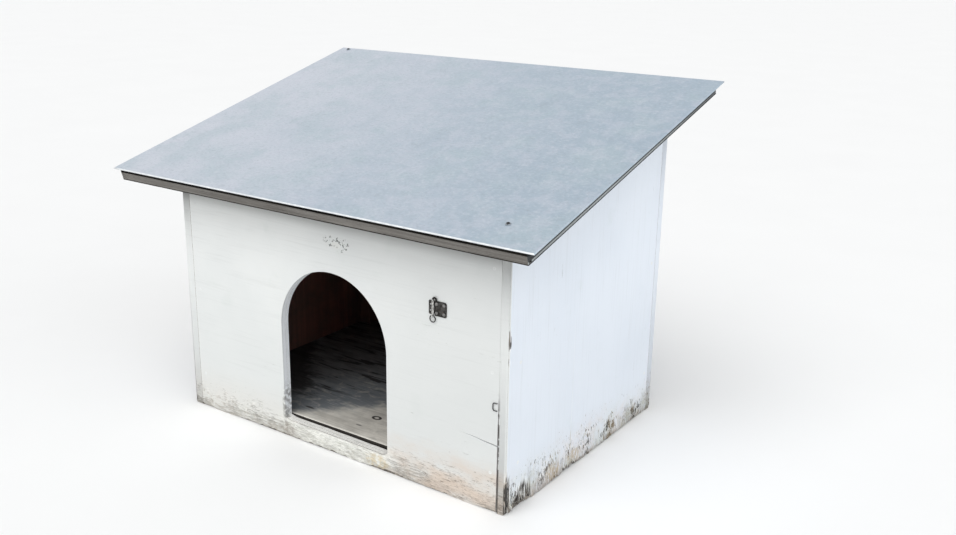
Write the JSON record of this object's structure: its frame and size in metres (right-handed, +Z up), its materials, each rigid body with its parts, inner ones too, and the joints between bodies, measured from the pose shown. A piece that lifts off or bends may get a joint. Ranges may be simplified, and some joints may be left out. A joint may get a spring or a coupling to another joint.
{
  "type": "calf hutch",
  "caption": "Small painted plywood calf hutch with an arched doorway, a floor on bearers, a single-pitch sheet-covered roof, and a hasp with a hinged leaf and a free-hanging ring.",
  "frame": {"origin": "on the ground, under the middle of the whole object's box", "axes": "+X to the right along the doorway wall as seen from outside, +Y from the doorway towards the back, +Z up"},
  "size_m": [1.238, 0.862, 0.8862],
  "materials": {
    "front_paint": "weathered off-white paint on plywood",
    "wall_paint": "weathered white paint on plywood, checked along the grain",
    "floor_timber": "worn bare timber",
    "bearer_timber": "rough sawn timber",
    "inner_timber": "bare reddish timber",
    "deck_timber": "weathered plywood edge",
    "roof_sheet": "dull blue-grey sheet",
    "dark_screw": "dull dark screw",
    "zinc": "weathered dark zinc",
    "bright_wire": "dull zinc-plated wire",
    "painted_screw": "painted over"
  },
  "bodies": {
    "hutch": {"front_panel": "front_paint", "back_panel": "wall_paint", "side_panel_left": "wall_paint", "side_panel_right": "wall_paint", "floor_panel": "floor_timber", "floor_bearer_left": "bearer_timber", "floor_bearer_middle": "bearer_timber", "floor_bearer_right": "bearer_timber", "corner_post_front_left": "inner_timber", "corner_post_front_right": "inner_timber", "corner_post_back_left": "inner_timber", "corner_post_back_right": "inner_timber", "roof_cleat_front": "inner_timber", "roof_cleat_back": "inner_timber", "roof_cleat_left": "inner_timber", "roof_cleat_right": "inner_timber", "roof_deck": "deck_timber", "roof_skin": "roof_sheet", "roof_screw_front_right": "dark_screw", "roof_screw_back_left": "dark_screw", "roof_washer_front_right": "dark_screw", "roof_washer_back_left": "dark_screw", "hasp_plate": "zinc", "hasp_pin": "bright_wire", "hasp_screw_1": "zinc", "hasp_screw_2": "zinc", "hasp_screw_3": "zinc", "hasp_screw_4": "zinc", "seam_staple": "bright_wire", "front_screw_left_1": "painted_screw", "front_screw_left_2": "painted_screw", "front_screw_left_3": "painted_screw", "front_screw_right_1": "painted_screw", "front_screw_right_2": "painted_screw", "front_screw_right_3": "painted_screw", "back_screw_left_1": "painted_screw", "back_screw_left_2": "painted_screw", "back_screw_left_3": "painted_screw", "back_screw_right_1": "painted_screw", "back_screw_right_2": "painted_screw", "back_screw_right_3": "painted_screw", "side_screw_left_front_1": "painted_screw", "side_screw_left_front_2": "painted_screw", "side_screw_left_front_3": "painted_screw", "side_screw_left_back_1": "painted_screw", "side_screw_left_back_2": "painted_screw", "side_screw_left_back_3": "painted_screw", "side_screw_right_front_1": "painted_screw", "side_screw_right_front_2": "painted_screw", "side_screw_right_front_3": "painted_screw", "side_screw_right_back_1": "painted_screw", "side_screw_right_back_2": "painted_screw", "side_screw_right_back_3": "painted_screw"},
    "leaf": {"hasp_leaf": "zinc"},
    "ring": {"tether_ring": "bright_wire"}
  },
  "joints": [
    {"name": "leaf_hinge", "type": "hinge", "parent": "hutch", "child": "leaf", "pos_m": [0.3015, -0.32275, 0.4437], "axis": [0, 0, 1], "range_deg": [0, 175]},
    {"name": "ring_swing", "type": "hinge", "parent": "hutch", "child": "ring", "pos_m": [0.3015, -0.32355, 0.4253], "axis": [-1, 0, 0], "range_deg": [-8, 90]}
  ]
}
